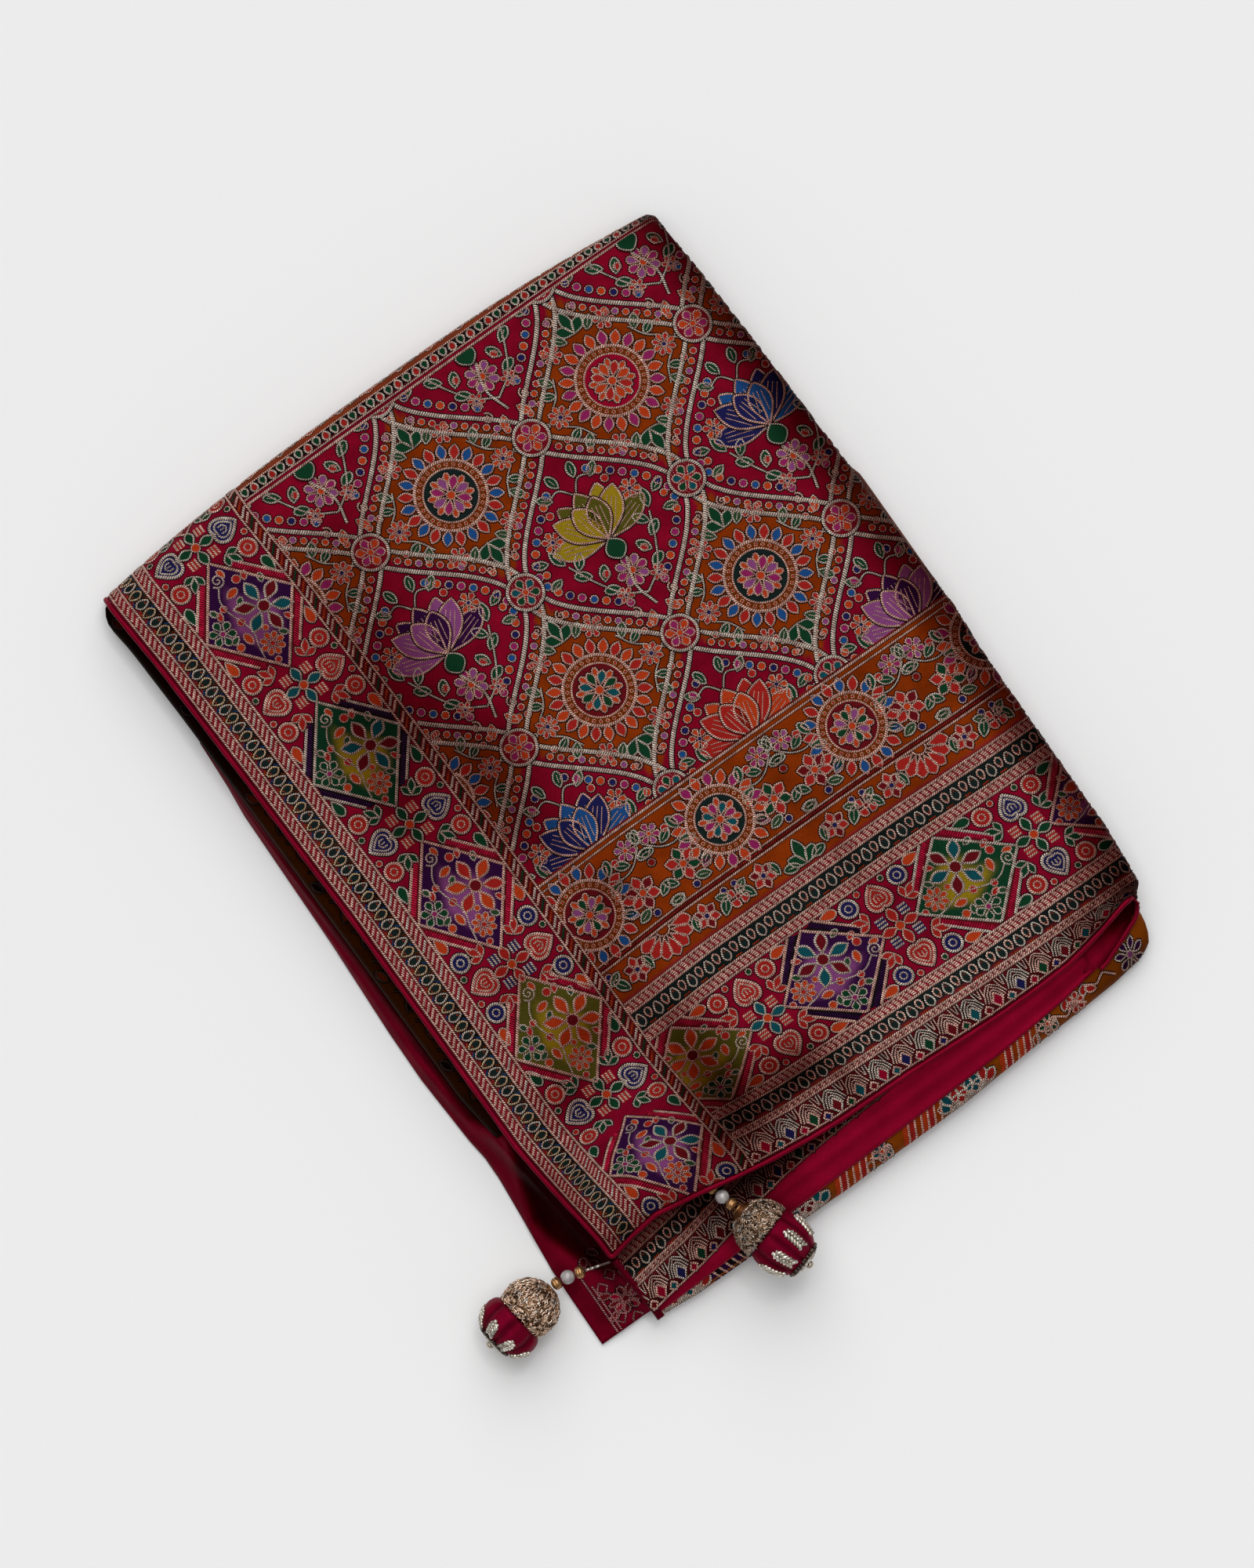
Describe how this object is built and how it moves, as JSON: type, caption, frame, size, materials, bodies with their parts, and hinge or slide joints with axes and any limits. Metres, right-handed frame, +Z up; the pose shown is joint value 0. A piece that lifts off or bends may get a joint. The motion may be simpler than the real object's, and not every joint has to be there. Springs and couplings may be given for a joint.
{
  "type": "folded silk saree with latkans",
  "caption": "Woven silk saree folded into a flat oblong bundle, patterned pallu on top, edged in plain silk, with stitched beaded latkans on threads at its near end.",
  "frame": {"origin": "centre of the flat underside of the folded bundle", "axes": "+Z up, +Y along the bundle from the pallu's hem to the rolled far end, +X across it towards the pallu's fold"},
  "size_m": [0.3452, 0.4136, 0.0407],
  "materials": {
    "pallu": "woven silk brocade, crimson and mustard with cream zari outlines",
    "edging": "crimson satin, rolled",
    "reverse": "crimson satin with fine ribs",
    "body": "mustard woven silk with zari motifs",
    "blouse": "crimson silk with cream woven flowers",
    "thread": "silver wrapped thread",
    "gold_bead": "polished",
    "pearl": "pearlescent",
    "zari_cap": "crumbs of bright zardozi wire, stitched close",
    "latkan_silk": "crimson satin with silver bugle beads",
    "seed_bead": "silver-lined beads"
  },
  "bodies": {
    "root": {"pallu_panel": "pallu", "pallu_edging": "edging", "pallu_return": "reverse", "pallu_tuck": "pallu", "body_folds": "body", "blouse_end": "blouse", "latkan_left_thread": "thread", "latkan_left_bead_1": "gold_bead", "latkan_left_pearl": "pearl", "latkan_left_bead_2": "gold_bead", "latkan_left_cap": "zari_cap", "latkan_left_ball": "latkan_silk", "latkan_left_knob": "seed_bead", "latkan_near_thread": "thread", "latkan_near_bead_1": "gold_bead", "latkan_near_pearl": "pearl", "latkan_near_bead_2": "gold_bead", "latkan_near_cap": "zari_cap", "latkan_near_ball": "latkan_silk", "latkan_near_knob": "seed_bead"}
  },
  "joints": []
}
